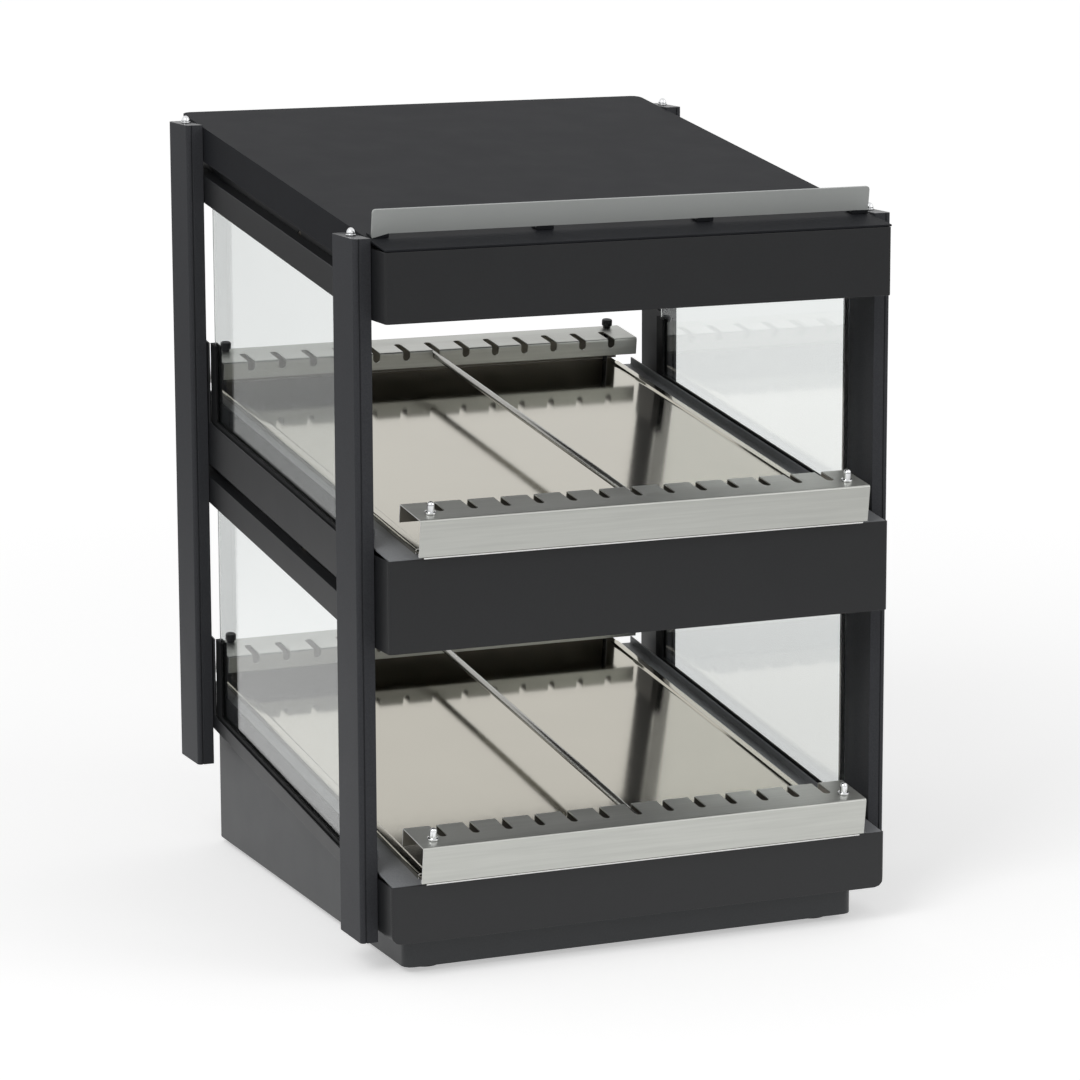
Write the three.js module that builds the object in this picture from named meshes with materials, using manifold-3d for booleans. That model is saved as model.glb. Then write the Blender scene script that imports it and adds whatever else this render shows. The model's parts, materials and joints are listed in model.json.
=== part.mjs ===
// Heated shelf merchandiser: two heated shelves that slope down to the front between four posts,
// with glass sides, slotted rails for divider rods, fascias, a canopy and a pedestal base.
// Millimetres, +Z up, the front faces -Y. The origin is the middle of the footprint on the ground.
import * as THREE from "three";
import { mergeVertices } from "three/addons/utils/BufferGeometryUtils.js";
import Module from "manifold-3d";

const wasm = await Module();
wasm.setup();

// Overall sizes
const overallWidth = 457;
const slopeDegrees = 8;
const tierPitch = 256;
const gap = 0.3;
const overrun = 5;

// Posts: one profile cut to one length, the rear pair stands higher by the slope
const postWidth = 14.2;
const postDepth = 48;
const postRise = 2;
const postCorner = 3;
const postGrooveWidth = 1;
const postGrooveDepth = 1;
const postGrooveInset = 4;
const frontPostFoot = 26;
const rearPostSetback = 393;

// Domed nuts on the tie bolts of the posts
const nutRadius = 3.4;
const nutFlangeRadius = 4;
const nutFlangeHeight = 1;
const nutHeight = 6;

// Housings: folded pans that carry the shelves, with hollow side cheeks that the posts bolt to
const sheet = 1.5;
const panFlange = 14;
const rimLap = 8;
const rimUpstand = 2.6;
const channelFront = 31;
const cheekTopDrop = 15;
const cheekHeight = 36.5;
const baseCheekHeight = 12;
const middleHousingHeight = 68;
const baseHousingHeight = 20;
const channelFloorDrop = 24;
const earLead = 3.4;
const earHeight = 68;
const shelfStandoff = 7;

// Header housing and canopy
const canopyClear = 11.7;
const canopySkirt = 29;
const canopyRearOverhang = 11;
const canopyCorner = 8;
const headerHousingDepth = 53;

// Fascias: front panels with short returns between the posts
const fasciaFront = -29;
const fasciaReturn = 35;
const fasciaCorner = 2.5;
const fasciaShelfDrop = 7.5;
const middleFasciaHeight = 72.5;
const baseFasciaHeight = 46;
const headerFasciaHeight = 54.5;
const baseFasciaLowerCorner = 8;

// Glass sides, the gaskets that hold their lower and rear edges, and the rails along their tops
const glassThickness = 4;
const glassFrontInset = 3;
const gasketClear = 0.3;
const gasketWall = 2.15;
const gasketInnerLip = 4.5;
const gasketOuterLip = 11.5;
const gasketFloor = 2.6;
const gasketRearWall = 3.6;
const gasketRearGrip = 9;
const windowRailHeight = 23;
const windowRailGrip = 11.4;
const windowRailClear = 11.2;

// Shelf trays, measured square to the slope from the top of the plate
const lowerShelfHeight = 84;
const trayFrontOverhang = 7.6;
const trayRearOverhang = 16.7;
const traySideInset = 15.3;
const traySheet = 1.2;
const beadWidth = 9.7;
const beadHeight = 1.8;
const beadFlank = 2.5;
const beadCorner = 1.8;
const beadHem = 3;
const beadEndGap = 18;
const padSideInset = 11.7;
const padEndInset = 22;

// Slotted rails: an outer wall, a flange and a short inner wall, slotted for the divider rods
const railSideOverhang = 3.9;
const railDepth = 44.5;
const railHeight = 30;
const railInnerWall = 15;
const railSheet = 1.2;
const railBend = 2;
const railHem = 3;
const slotPitch = 27.8;
const slotEndMargin = 8;
const slotWidth = 6.4;
const slotLength = 25;
const slotSeatHeight = 24.8;

// Divider rods, studs and thumb screws
const rodRadius = 2.9;
const rodChamfer = 0.6;
const studSideInset = 13.6;
const studInset = 15.1;
const studRadius = 3;
const studHeight = 10;
const studFlangeRadius = 4.5;
const studFlangeHeight = 1.5;
const shankRadius = 2;
const shankHoleRadius = 2.4;
const thumbInset = 8.4;
const thumbRadius = 4.6;
const thumbCollarRadius = 3.4;
const thumbCollarHeight = 2;
const thumbHeight = 8;
const thumbRibs = 12;
const thumbRibDepth = 0.45;

// Sheathed heating rods under the header and the middle shelf
const heatingRodRadius = 4;
const heatingRodSetback = 190;
const heatingRodRise = 12;
const heatingRodBushRadius = 6;
const heatingRodBushLength = 14;

// Strip that holds a price card on the front of the canopy
const signEndInset = 2.9;
const signSetback = 6.7;
const signHeight = 19.2;
const signThickness = 2.5;
const signLift = 3;
const signFootDepth = 12;
const signFootThickness = 1.6;
const signFootWidth = 14;
const signFootCount = 4;
const signCorner = 2.5;

// Pedestal and its feet
const pedestalSideInset = 7;
const pedestalFrontInset = 19.6;
const pedestalRearInset = 2;
const pedestalCorner = 8;
const footHeight = 5;
const footRadius = 14;
const footInset = 26;
const footStemRadius = 4;
const footStemHoleRadius = 4.4;
const footStemHeight = 14;
const footRimMargin = 8;

// Controls on the rear of the pedestal, spread along the panel as shares of its half width
const upperKnobShare = -0.71;
const lowerKnobShare = -0.11;
const powerRockerShare = 0.27;
const lightRockerShare = 0.5;
const glandShare = 0.84;
const panelHalfWidth = 150;
const panelHeight = 66;
const panelThickness = 1.5;
const panelBase = 34;
const panelCorner = 4;
const panelWindowMargin = 8;
const knobRadius = 18;
const knobHeight = 11;
const knobRibs = 24;
const knobRibDepth = 0.8;
const knobShaftRadius = 3;
const knobShaftHoleRadius = 3.4;
const knobShaftLength = 16;
const knobPointerWidth = 2;
const knobPointerDepth = 0.8;
const rockerWidth = 13;
const rockerLength = 19;
const rockerClear = 0.6;
const rockerTiltDegrees = 9;
const rockerSideDegrees = [-35, 24];
const rockerPivotDepth = 1;
const rockerValley = 2.2;
const bezelWidth = 2.5;
const bezelHeight = 2;
const glandRadius = 9;
const glandHeight = 10;
const glandNutRadius = 11;
const glandNutHeight = 4;
const glandBoreRadius = 4;
const glandHoleRadius = 6.6;
const glandThreadRadius = 6.2;
const glandThreadLength = 9;

// Places worked out from the sizes above
const slope = THREE.MathUtils.degToRad(slopeDegrees);
const rise = Math.tan(slope);
const postInner = overallWidth / 2 - postWidth;
const cheekOuter = postInner - gap;
const cheekInner = cheekOuter - sheet;
const channelWidth = glassThickness + 2 * (gasketWall + gasketClear + gap);
const housingHalfWidth = cheekInner - channelWidth;
const housingFront = fasciaFront + sheet + gap;
const housingRear = rearPostSetback + postDepth;
const fasciaRear = fasciaFront + fasciaReturn;
const upperShelfHeight = lowerShelfHeight + tierPitch;
const windowRailRise = tierPitch - cheekTopDrop - cheekHeight - windowRailClear - windowRailHeight;
const canopyTop = upperShelfHeight + windowRailRise + windowRailHeight + canopyClear + canopySkirt;
const canopyUnderside = canopyTop - sheet;
const canopyRear = housingRear + canopyRearOverhang;
const postLength = canopyTop + postRise - frontPostFoot;
const rearPostFoot = frontPostFoot + rearPostSetback * rise;
const headerFasciaTop = canopyUnderside + fasciaFront * rise - gap;
const headerHousingTop = canopyUnderside - gap;
const headerHousingBottom = headerHousingTop - headerHousingDepth;
const earFront = rearPostSetback - earLead;
const gasketFront = channelFront + gap;
const gasketRear = earFront - gap;
const glassFront = channelFront + glassFrontInset;
const glassRear = gasketRear - gasketRearWall - gasketClear;
const glassOuter = cheekInner - gap - gasketWall - gasketClear;
const glassInner = glassOuter - glassThickness;
const trayFront = fasciaFront - trayFrontOverhang;
const trayRear = housingRear + trayRearOverhang;
const trayHalfWidth = housingHalfWidth - traySideInset;
const rimDrop = beadHem + gap;
const padHalfWidth = trayHalfWidth - padSideInset;
const railHalfWidth = trayHalfWidth + railSideOverhang;
const studHalfSpacing = railHalfWidth - studSideInset;
const slotCount = 2 * Math.floor((studHalfSpacing - slotEndMargin) / slotPitch) + 1;
const signHalfWidth = cheekOuter - signEndInset;
const pedestalHalfWidth = housingHalfWidth - pedestalSideInset;
const pedestalFront = fasciaFront + pedestalFrontInset;
const pedestalRear = housingRear - pedestalRearInset;
const pedestalTop = lowerShelfHeight - shelfStandoff - baseHousingHeight - gap;
const pedestalRim = footInset + footRadius + footRimMargin;
const panelFace = pedestalRear + gap + panelThickness;
const padTop = -traySheet - gap;
const padBottom = gap - shelfStandoff * Math.cos(slope);
const slotRadius = slotWidth / 2;
const rodFront = trayFront + railDepth - slotLength + slotRadius;
const rodRear = trayRear - railDepth + slotLength - slotRadius;

// Facets of a bend, of a full turn and of a full turn on a small fastener
const bendSteps = 3;
const turnSteps = 24;
const fastenerSteps = 14;

// Share of a half width that a full round end takes, so that its two arcs don't meet in one point
const roundEndShare = 0.999;

// Colours and finishes
function finish(color, roughness, metalness) {
  return new THREE.MeshStandardMaterial({ color, roughness, metalness });
}
const blackPaint = finish(0x2e3032, 0.45, 0.1);
const greyPaint = finish(0x47494b, 0.5, 0.1);
const postCoat = finish(0x3a3c3e, 0.4, 0.4);
const hardcoat = finish(0xc6c2b4, 0.22, 0.9);
const stainless = finish(0xa5a7a3, 0.3, 0.95);
const chrome = finish(0xd8dadb, 0.1, 1);
const blackRubber = finish(0x17181a, 0.8, 0);
const blackPlastic = finish(0x1b1c1e, 0.45, 0);
const sheath = finish(0x6d6a64, 0.5, 0.8);
const foil = finish(0x8f8c86, 0.4, 0.7);
const clearPlastic = finish(0x868886, 0.35, 0);
const glassMaterial = new THREE.MeshStandardMaterial({
  color: 0xdfe6e3,
  roughness: 0.05,
  metalness: 0,
  transparent: true,
  opacity: 0.35,
});

// Outline through corners given as [x, y] or [x, y, radius], with an arc at each corner that has a radius
function outline(corners) {
  const points = [];
  corners.forEach(([x, y, radius = 0], i) => {
    const corner = new THREE.Vector2(x, y);
    if (radius <= 0) {
      points.push(corner);
      return;
    }
    const [beforeX, beforeY] = corners[(i + corners.length - 1) % corners.length];
    const [afterX, afterY] = corners[(i + 1) % corners.length];
    const toBefore = new THREE.Vector2(beforeX, beforeY).sub(corner).normalize();
    const toAfter = new THREE.Vector2(afterX, afterY).sub(corner).normalize();
    const half = Math.acos(toBefore.dot(toAfter)) / 2;
    const inward = toBefore.clone().add(toAfter).normalize();
    const centre = corner.clone().addScaledVector(inward, radius / Math.sin(half));
    const start = corner.clone().addScaledVector(toBefore, radius / Math.tan(half)).sub(centre).angle();
    const end = corner.clone().addScaledVector(toAfter, radius / Math.tan(half)).sub(centre).angle();
    const sweep = Math.atan2(Math.sin(end - start), Math.cos(end - start));
    for (let k = 0; k <= bendSteps; k += 1) {
      const angle = start + (sweep * k) / bendSteps;
      points.push(new THREE.Vector2(Math.cos(angle), Math.sin(angle)).multiplyScalar(radius).add(centre));
    }
  });
  return new THREE.Shape(THREE.ShapeUtils.isClockWise(points) ? points.reverse() : points);
}

function rectangle(x0, x1, y0, y1, radius = 0) {
  return outline([
    [x0, y0, radius],
    [x1, y0, radius],
    [x1, y1, radius],
    [x0, y1, radius],
  ]);
}

// Extrusions of an outline along each axis
function alongZ(shape, z0, z1) {
  const geometry = new THREE.ExtrudeGeometry(shape, { depth: z1 - z0, bevelEnabled: false });
  return geometry.translate(0, 0, z0);
}

function alongX(shapeYZ, x0, x1) {
  const turn = new THREE.Matrix4().makeBasis(
    new THREE.Vector3(0, 1, 0),
    new THREE.Vector3(0, 0, 1),
    new THREE.Vector3(1, 0, 0),
  );
  return alongZ(shapeYZ, x0, x1).applyMatrix4(turn);
}

function alongY(shapeXZ, y0, y1) {
  return alongZ(shapeXZ, -y1, -y0).rotateX(Math.PI / 2);
}

function block(x0, x1, y0, y1, z0, z1) {
  return alongZ(rectangle(x0, x1, y0, y1), z0, z1);
}

function rodAlongZ(radius, x, y, z0, z1) {
  const geometry = new THREE.CylinderGeometry(radius, radius, z1 - z0, fastenerSteps);
  return geometry.rotateX(Math.PI / 2).translate(x, y, (z0 + z1) / 2);
}

// Body turned about +Z from a profile of [radius, height] points that starts and ends on the axis
function turned(profile, steps = fastenerSteps) {
  const points = profile.map(([radius, height]) => new THREE.Vector2(radius, height));
  return new THREE.LatheGeometry(points, steps).rotateX(Math.PI / 2);
}

// Points of a dome of the given radius and height that stands on a given level
function dome(radius, base, height) {
  const points = [];
  for (let k = 0; k <= bendSteps; k += 1) {
    const angle = (Math.PI / 2) * (k / bendSteps);
    points.push([k === bendSteps ? 0 : radius * Math.cos(angle), base + height * Math.sin(angle)]);
  }
  return points;
}

// Shears a level piece onto the slope, so its ends stay upright and its top and bottom follow the shelves
function slanted(geometry) {
  const shear = new THREE.Matrix4().makeBasis(
    new THREE.Vector3(1, 0, 0),
    new THREE.Vector3(0, 1, rise),
    new THREE.Vector3(0, 0, 1),
  );
  return geometry.applyMatrix4(shear);
}

// Joins and cuts between closed meshes
function toSolid(geometry) {
  const bare = geometry.clone();
  bare.deleteAttribute("normal");
  bare.deleteAttribute("uv");
  const merged = mergeVertices(bare);
  return new wasm.Manifold(
    new wasm.Mesh({
      numProp: 3,
      vertProperties: new Float32Array(merged.attributes.position.array),
      triVerts: new Uint32Array(merged.index.array),
    }),
  );
}

function toGeometry(manifold) {
  const mesh = manifold.getMesh();
  const geometry = new THREE.BufferGeometry();
  geometry.setAttribute("position", new THREE.BufferAttribute(new Float32Array(mesh.vertProperties), 3));
  geometry.setIndex(new THREE.BufferAttribute(new Uint32Array(mesh.triVerts), 1));
  geometry.computeVertexNormals();
  return geometry;
}

function join(first, ...others) {
  return toGeometry(others.reduce((whole, piece) => whole.add(toSolid(piece)), toSolid(first)));
}

function cut(first, ...others) {
  return toGeometry(others.reduce((whole, piece) => whole.subtract(toSolid(piece)), toSolid(first)));
}

function common(first, second) {
  return toGeometry(toSolid(first).intersect(toSolid(second)));
}

const cabinet = new THREE.Group();
const sides = [
  { name: "left", sign: -1 },
  { name: "right", sign: 1 },
];

function piece(name, geometry, material, parent = cabinet) {
  const mesh = new THREE.Mesh(geometry, material);
  mesh.name = name;
  parent.add(mesh);
  return mesh;
}

// Post with rounded outer edges and a fine groove beside each
function postGeometry(sign, front, foot) {
  const inner = sign * postInner;
  const outer = sign * (postInner + postWidth);
  const grooveOuter = outer - sign * postGrooveInset;
  const grooveInner = grooveOuter - sign * postGrooveWidth;
  const rear = front + postDepth;
  const profile = outline([
    [inner, front],
    [grooveInner, front],
    [grooveInner, front + postGrooveDepth],
    [grooveOuter, front + postGrooveDepth],
    [grooveOuter, front],
    [outer, front, postCorner],
    [outer, rear, postCorner],
    [grooveOuter, rear],
    [grooveOuter, rear - postGrooveDepth],
    [grooveInner, rear - postGrooveDepth],
    [grooveInner, rear],
    [inner, rear],
  ]);
  return alongZ(profile, foot, foot + postLength);
}

function nutGeometry() {
  return turned([
    [0, 0],
    [nutFlangeRadius, 0],
    [nutFlangeRadius, nutFlangeHeight],
    ...dome(nutRadius, nutFlangeHeight, nutHeight - nutFlangeHeight),
  ]);
}

function addPosts() {
  const rows = [
    { name: "front", front: 0, foot: frontPostFoot },
    { name: "rear", front: rearPostSetback, foot: rearPostFoot },
  ];
  for (const row of rows) {
    for (const side of sides) {
      piece(`post_${row.name}_${side.name}`, postGeometry(side.sign, row.front, row.foot), postCoat);
      const nut = piece(`post_nut_${row.name}_${side.name}`, nutGeometry(), chrome);
      const x = side.sign * (postInner + postWidth / 2);
      nut.position.set(x, row.front + postDepth / 2, row.foot + postLength + gap);
    }
  }
}

// Folded pan with a return flange round its open underside, in level coordinates
function pan(bottom, top) {
  const shell = (inset, low, high) =>
    block(
      -housingHalfWidth + inset,
      housingHalfWidth - inset,
      housingFront + inset,
      housingRear - inset,
      low,
      high,
    );
  const room = shell(sheet, bottom + sheet, top - sheet);
  const opening = shell(panFlange, bottom - overrun, bottom + sheet + overrun);
  return cut(shell(0, bottom, top), room, opening);
}

// Height of a heating rod above the ground, from the level of the housing's lower edge
function heatingRodLevel(bottom) {
  return bottom + heatingRodRise + heatingRodSetback * rise;
}

// Hole through both side walls for a heating rod, round across the rod
function heatingRodHole(bottom) {
  const reach = housingHalfWidth + overrun;
  const hole = new THREE.CylinderGeometry(
    heatingRodRadius + gap,
    heatingRodRadius + gap,
    reach * 2,
    fastenerSteps,
  );
  return hole.rotateZ(Math.PI / 2).translate(0, heatingRodSetback, heatingRodLevel(bottom));
}

// Side cheek of a shelf housing: a hollow raceway with the glass channel on top and an ear at its rear
function cheek(sign, shelfHeight, height) {
  const top = shelfHeight - cheekTopDrop;
  const bottom = top - height;
  const floor = shelfHeight - channelFloorDrop;
  const root = sign * (housingHalfWidth - sheet / 2);
  const inner = sign * cheekInner;
  const outer = sign * cheekOuter;
  const profile = outline([
    [root, bottom],
    [outer, bottom],
    [outer, top],
    [inner, top],
    [inner, floor],
    [root, floor],
  ]);
  const racewayHeight = floor - bottom - sheet * 2;
  if (racewayHeight > sheet) {
    const raceway = [
      [sign * housingHalfWidth, bottom + sheet],
      [inner, bottom + sheet],
      [inner, floor - sheet],
      [sign * housingHalfWidth, floor - sheet],
    ];
    profile.holes.push(new THREE.Path(raceway.map(([x, z]) => new THREE.Vector2(x, z))));
  }
  const length = alongY(profile, channelFront, housingRear);
  const ear = block(
    Math.min(inner, outer),
    Math.max(inner, outer),
    earFront,
    housingRear,
    top - sheet,
    top + earHeight,
  );
  return join(length, ear);
}

// Raised rim beside the tray: a ledge just under its hem, turned up along the glass channel and wider
// in front of it
function rim(sign, shelfHeight) {
  const ledge = shelfHeight - rimDrop;
  const across = (inner, outer) => [
    Math.min(sign * inner, sign * outer),
    Math.max(sign * inner, sign * outer),
  ];
  const wall = across(housingHalfWidth - sheet, housingHalfWidth);
  const inner = trayHalfWidth - rimLap;
  return [
    block(...across(inner, housingHalfWidth), housingFront, housingRear, ledge - sheet, ledge),
    block(...across(inner, cheekInner - gap), housingFront, channelFront, ledge - sheet, ledge),
    block(...wall, housingFront, housingRear, ledge - shelfStandoff, ledge),
    block(...wall, channelFront, housingRear, ledge - sheet, shelfHeight + rimUpstand),
  ];
}

function shelfHousing(shelfHeight, height, cheekSize, holes) {
  const deck = shelfHeight - shelfStandoff;
  const bottom = deck - height;
  const rims = sides.flatMap(({ sign }) => rim(sign, shelfHeight));
  const cheeks = sides.map(({ sign }) => cheek(sign, shelfHeight, cheekSize));
  const body = slanted(join(pan(bottom, deck), ...rims, ...cheeks));
  return holes ? cut(body, heatingRodHole(bottom)) : body;
}

// Sheathed heating rod with a thicker bush at each end, held in the side walls of a housing
function addHeatingRod(name, bottom) {
  const half = housingHalfWidth - gap;
  const bushOuter = housingHalfWidth - sheet - gap;
  const bushInner = bushOuter - heatingRodBushLength;
  const geometry = turned([
    [0, -half],
    [heatingRodRadius, -half],
    [heatingRodRadius, -bushOuter],
    [heatingRodBushRadius, -bushOuter],
    [heatingRodBushRadius, -bushInner],
    [heatingRodRadius, -bushInner],
    [heatingRodRadius, bushInner],
    [heatingRodBushRadius, bushInner],
    [heatingRodBushRadius, bushOuter],
    [heatingRodRadius, bushOuter],
    [heatingRodRadius, half],
    [0, half],
  ]);
  const rod = piece(name, geometry.rotateY(Math.PI / 2), sheath);
  rod.position.set(0, heatingRodSetback, heatingRodLevel(bottom));
}

function addHousings() {
  const middleBottom = upperShelfHeight - shelfStandoff - middleHousingHeight;
  const header = slanted(pan(headerHousingBottom, headerHousingTop));
  const middle = shelfHousing(upperShelfHeight, middleHousingHeight, cheekHeight, true);
  const base = shelfHousing(lowerShelfHeight, baseHousingHeight, baseCheekHeight, false);
  piece("header_housing", cut(header, heatingRodHole(headerHousingBottom)), blackPaint);
  piece("middle_housing", middle, blackPaint);
  piece("base_housing", base, blackPaint);
  addHeatingRod("heating_rod_upper", headerHousingBottom);
  addHeatingRod("heating_rod_lower", middleBottom);
}

// Canopy: a top sheet with a skirt along its sides and rear and rounded rear corners
function addCanopy() {
  const shell = (inset) =>
    outline([
      [-cheekOuter + inset, fasciaFront],
      [cheekOuter - inset, fasciaFront],
      [cheekOuter - inset, canopyRear - inset, canopyCorner - inset],
      [-cheekOuter + inset, canopyRear - inset, canopyCorner - inset],
    ]);
  const skirtBottom = canopyTop - canopySkirt;
  const outer = alongZ(shell(0), skirtBottom, canopyTop);
  const inner = alongZ(shell(sheet), skirtBottom - overrun, canopyUnderside);
  const frontCut = block(
    -overallWidth / 2,
    overallWidth / 2,
    fasciaFront - overrun,
    fasciaRear + gap,
    skirtBottom - overrun,
    canopyUnderside,
  );
  piece("canopy_cover", slanted(cut(outer, inner, frontCut)), greyPaint);
}

// Fascia panel: a front sheet with rounded bends and a return at each end
function fasciaGeometry(bottom, top) {
  const innerCorner = fasciaCorner - sheet;
  const profile = outline([
    [-cheekOuter, fasciaRear],
    [-cheekOuter, fasciaFront, fasciaCorner],
    [cheekOuter, fasciaFront, fasciaCorner],
    [cheekOuter, fasciaRear],
    [cheekInner, fasciaRear],
    [cheekInner, fasciaFront + sheet, innerCorner],
    [-cheekInner, fasciaFront + sheet, innerCorner],
    [-cheekInner, fasciaRear],
  ]);
  return alongZ(profile, bottom, top);
}

function addFascias() {
  const middleTop = upperShelfHeight - fasciaShelfDrop;
  const baseTop = lowerShelfHeight - fasciaShelfDrop;
  const baseBottom = baseTop - baseFasciaHeight;
  const face = outline([
    [-cheekOuter, baseBottom, baseFasciaLowerCorner],
    [cheekOuter, baseBottom, baseFasciaLowerCorner],
    [cheekOuter, baseTop],
    [-cheekOuter, baseTop],
  ]);
  const trim = alongY(face, fasciaFront - overrun, fasciaRear + overrun);
  piece("header_fascia", fasciaGeometry(headerFasciaTop - headerFasciaHeight, headerFasciaTop), blackPaint);
  piece("middle_fascia", fasciaGeometry(middleTop - middleFasciaHeight, middleTop), blackPaint);
  piece("base_fascia", common(fasciaGeometry(baseBottom, baseTop), trim), blackPaint);
}

// Glass side, the gasket round its lower and rear edges and the rail along its top
function addWindow(tier, shelfHeight, side) {
  const place = `${tier}_${side.name}`;
  const across = (inner, outer) => [
    Math.min(side.sign * inner, side.sign * outer),
    Math.max(side.sign * inner, side.sign * outer),
  ];
  const gasketBottom = shelfHeight - channelFloorDrop + gap;
  const glassBottom = gasketBottom + gasketFloor + gasketClear;
  const railBottom = shelfHeight + windowRailRise;
  const glassTop = railBottom + windowRailGrip;
  const glassSides = across(glassInner, glassOuter);
  const grooveSides = across(glassInner - gasketClear, glassOuter + gasketClear);
  const bodySides = across(housingHalfWidth + gap, cheekInner - gap);
  const railSides = across(housingHalfWidth + gap, cheekOuter);
  const outerLipSides = across(glassOuter, cheekInner);
  const glass = block(...glassSides, glassFront, glassRear, glassBottom, glassTop);
  piece(`glass_${place}`, slanted(glass), glassMaterial);

  const earTop = shelfHeight - cheekTopDrop + earHeight;
  const gasketUpright = gasketRear - gasketRearWall - gasketRearGrip;
  const sillTop = shelfHeight + gasketInnerLip;
  const sill = block(...bodySides, gasketFront, gasketRear, gasketBottom, sillTop);
  const sillCut = block(
    ...outerLipSides,
    gasketFront - overrun,
    gasketUpright,
    shelfHeight - gasketOuterLip,
    sillTop + overrun,
  );
  const upright = block(...bodySides, gasketUpright, gasketRear, gasketBottom, earTop);
  const groove = block(
    ...grooveSides,
    gasketFront - overrun,
    glassRear + gasketClear,
    glassBottom - gasketClear,
    earTop + overrun,
  );
  piece(`gasket_${place}`, slanted(cut(join(cut(sill, sillCut), upright), groove)), blackRubber);

  const bar = block(...railSides, channelFront, housingRear, railBottom, railBottom + windowRailHeight);
  const barGroove = block(
    ...grooveSides,
    channelFront - overrun,
    housingRear + overrun,
    railBottom - overrun,
    glassTop + gasketClear,
  );
  piece(`window_rail_${place}`, slanted(cut(bar, barGroove)), blackPaint);
}

// Shelf tray with a raised bead and a short hem along each side, in the frame of the slope.
// The flat ends reach one sheet thickness under the beads.
function trayGeometry() {
  const root = trayHalfWidth - beadWidth;
  const inner = trayHalfWidth - traySheet;
  const half = [
    [root, 0],
    [root + beadFlank, beadHeight, beadCorner],
    [trayHalfWidth, beadHeight, beadCorner],
    [trayHalfWidth, -beadHem],
    [inner, -beadHem],
    [inner, beadHeight - traySheet, beadCorner - traySheet],
    [root + beadFlank, beadHeight - traySheet, beadCorner - traySheet],
    [root, -traySheet],
  ];
  const mirrored = half.map(([x, z, radius]) => [-x, z, radius]).reverse();
  const ends = [
    [trayFront, trayFront + beadEndGap + traySheet],
    [trayRear - beadEndGap - traySheet, trayRear],
  ];
  const folded = alongY(outline([...half, ...mirrored]), trayFront + beadEndGap, trayRear - beadEndGap);
  const flats = ends.map(([y0, y1]) => block(-trayHalfWidth, trayHalfWidth, y0, y1, -traySheet, 0));
  return join(folded, ...flats);
}

// Cutter for one rod slot: round at its end and round at its seat
function slotCutter(inward, x, innerEdge) {
  const top = railHeight + overrun;
  const mouth = innerEdge + inward * overrun;
  const end = innerEdge - inward * slotLength;
  const plan = outline([
    [x - slotRadius, mouth],
    [x + slotRadius, mouth],
    [x + slotRadius, end, slotRadius * roundEndShare],
    [x - slotRadius, end, slotRadius * roundEndShare],
  ]);
  const section = outline([
    [x - slotRadius, slotSeatHeight - slotRadius, slotRadius * roundEndShare],
    [x + slotRadius, slotSeatHeight - slotRadius, slotRadius * roundEndShare],
    [x + slotRadius, top],
    [x - slotRadius, top],
  ]);
  const low = Math.min(mouth, end) - overrun;
  const high = Math.max(mouth, end) + overrun;
  return common(alongZ(plan, slotSeatHeight - slotRadius - overrun, top), alongY(section, low, high));
}

// Slotted rail of folded sheet: outer wall with a hem, flange and short inner wall
function railGeometry(outerFace, inward, fastenerInset) {
  const at = (inset, height, radius = 0) => [outerFace + inward * inset, height, radius];
  const innerBend = railBend - railSheet;
  const profile = outline([
    at(0, gap),
    at(0, railHeight, railBend),
    at(railDepth, railHeight, railBend),
    at(railDepth, railHeight - railInnerWall),
    at(railDepth - railSheet, railHeight - railInnerWall),
    at(railDepth - railSheet, railHeight - railSheet, innerBend),
    at(railSheet, railHeight - railSheet, innerBend),
    at(railSheet, gap + railHem),
    at(railSheet * 2, gap + railHem),
    at(railSheet * 2, gap),
  ]);
  const cutters = [];
  const innerEdge = outerFace + inward * railDepth;
  for (let k = 0; k < slotCount; k += 1) {
    cutters.push(slotCutter(inward, (k - (slotCount - 1) / 2) * slotPitch, innerEdge));
  }
  for (const side of sides) {
    const x = side.sign * studHalfSpacing;
    const y = outerFace + inward * fastenerInset;
    cutters.push(rodAlongZ(shankHoleRadius, x, y, railHeight - railSheet - overrun, railHeight + overrun));
  }
  return cut(alongX(profile, -railHalfWidth, railHalfWidth), ...cutters);
}

function rodGeometry() {
  const half = (rodRear - rodFront) / 2;
  return turned([
    [0, -half],
    [rodRadius - rodChamfer, -half],
    [rodRadius, -half + rodChamfer],
    [rodRadius, half - rodChamfer],
    [rodRadius - rodChamfer, half],
    [0, half],
  ]).rotateX(-Math.PI / 2);
}

// Domed stud that clamps the front rail to the tray
function studGeometry() {
  const seat = railHeight + gap;
  return turned([
    [0, gap],
    [shankRadius, gap],
    [shankRadius, seat],
    [studFlangeRadius, seat],
    [studFlangeRadius, seat + studFlangeHeight],
    [studRadius, seat + studFlangeHeight],
    ...dome(studRadius, railHeight + studHeight - studRadius, studRadius),
  ]);
}

// Circle with shallow ribs round it
function ribbedCircle(radius, ribs, depth) {
  const points = [];
  const steps = ribs * 4;
  for (let k = 0; k < steps; k += 1) {
    const angle = (Math.PI * 2 * k) / steps;
    const inset = k % 4 < 2 ? 0 : depth;
    points.push(new THREE.Vector2(Math.cos(angle), Math.sin(angle)).multiplyScalar(radius - inset));
  }
  return new THREE.Shape(points);
}

function thumbScrewGeometry() {
  const seat = railHeight + gap;
  const headBottom = seat + thumbCollarHeight;
  const stem = turned([
    [0, gap],
    [shankRadius, gap],
    [shankRadius, seat],
    [thumbCollarRadius, seat],
    [thumbCollarRadius, headBottom + thumbRibDepth],
    [0, headBottom + thumbRibDepth],
  ]);
  const headTop = railHeight + thumbHeight;
  const head = alongZ(ribbedCircle(thumbRadius, thumbRibs, thumbRibDepth), headBottom, headTop);
  return join(stem, head);
}

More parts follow.
